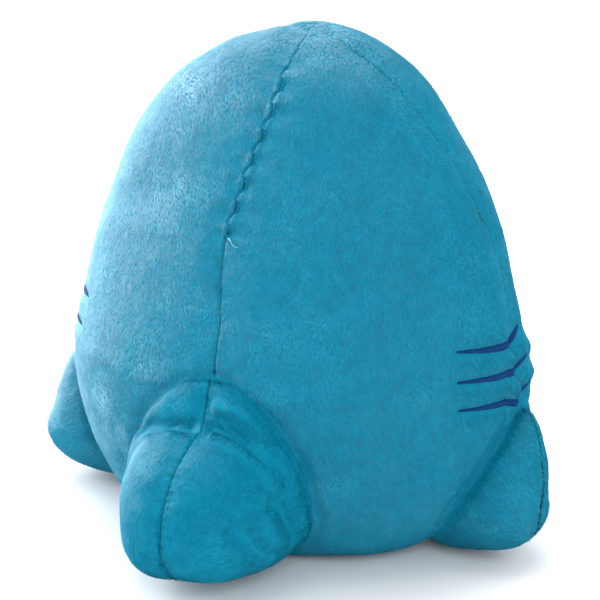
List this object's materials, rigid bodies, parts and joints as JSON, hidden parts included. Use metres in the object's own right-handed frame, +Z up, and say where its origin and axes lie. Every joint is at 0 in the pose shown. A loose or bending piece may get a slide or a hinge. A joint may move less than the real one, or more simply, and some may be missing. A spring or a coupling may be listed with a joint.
{
  "type": "plush shark",
  "caption": "Stuffed upright shark toy in short-pile fabric with a sewn-on tail, side fins, stitched gill lines and a flat base.",
  "frame": {"origin": "on the floor, under the middle of the toy's overall box", "axes": "+Z up, the toy faces -Y, its own left side is +X"},
  "size_m": [0.187, 0.155, 0.168],
  "materials": {
    "blue_pile_fabric": "short brushed pile, slightly lighter where the nap lies towards the light",
    "pale_pile_fabric": "short brushed pile",
    "polyester_stuffing": "loose white fibre",
    "seam_thread": "twisted sewing thread",
    "gill_thread": "satin stitching with a soft sheen",
    "tooth_felt": "matte felt",
    "eye_plastic": "moulded, glossy",
    "washer_plastic": "moulded, matte"
  },
  "bodies": {
    "body": {"back_panel_left": "blue_pile_fabric", "back_panel_right": "blue_pile_fabric", "front_panel": "blue_pile_fabric", "belly_panel": "pale_pile_fabric", "base_panel": "pale_pile_fabric", "body_stuffing": "polyester_stuffing", "back_seam_thread": "seam_thread", "side_seam_thread_left": "seam_thread", "side_seam_thread_right": "seam_thread", "belly_seam_thread": "seam_thread", "base_seam_thread": "seam_thread", "closing_stitch": "seam_thread", "gill_upper_left_rear": "gill_thread", "gill_middle_left_rear": "gill_thread", "gill_lower_left_rear": "gill_thread", "gill_upper_left_front": "gill_thread", "gill_middle_left_front": "gill_thread", "gill_lower_left_front": "gill_thread", "gill_upper_right_rear": "gill_thread", "gill_middle_right_rear": "gill_thread", "gill_lower_right_rear": "gill_thread", "gill_upper_right_front": "gill_thread", "gill_middle_right_front": "gill_thread", "gill_lower_right_front": "gill_thread", "eye_left": "eye_plastic", "eye_right": "eye_plastic", "eye_washer_left": "washer_plastic", "eye_washer_right": "washer_plastic", "mouth_stitching": "gill_thread", "tooth_strip": "tooth_felt"},
    "tail": {"tail_panel_left": "blue_pile_fabric", "tail_panel_right": "blue_pile_fabric", "tail_stuffing": "polyester_stuffing", "tail_seam_thread": "seam_thread"},
    "fin_left": {"fin_left_back_panel": "blue_pile_fabric", "fin_left_front_panel": "blue_pile_fabric", "fin_left_stuffing": "polyester_stuffing", "fin_left_seam_thread": "seam_thread"},
    "fin_right": {"fin_right_back_panel": "blue_pile_fabric", "fin_right_front_panel": "blue_pile_fabric", "fin_right_stuffing": "polyester_stuffing", "fin_right_seam_thread": "seam_thread"}
  },
  "joints": [
    {"name": "tail_lift", "type": "hinge", "parent": "body", "child": "tail", "pos_m": [0, 0.0402, 0.0685], "axis": [1, 0, 0], "range_deg": [0, 15], "stiffness_Nm_per_rad": 0.03},
    {"name": "fin_left_flap", "type": "hinge", "parent": "body", "child": "fin_left", "pos_m": [0.0785, -0.019, 0.0515], "axis": [0, -1, 0], "range_deg": [0, 15], "stiffness_Nm_per_rad": 0.02},
    {"name": "fin_right_flap", "type": "hinge", "parent": "body", "child": "fin_right", "pos_m": [-0.0785, -0.019, 0.0515], "axis": [0, 1, 0], "range_deg": [0, 15], "stiffness_Nm_per_rad": 0.02}
  ]
}
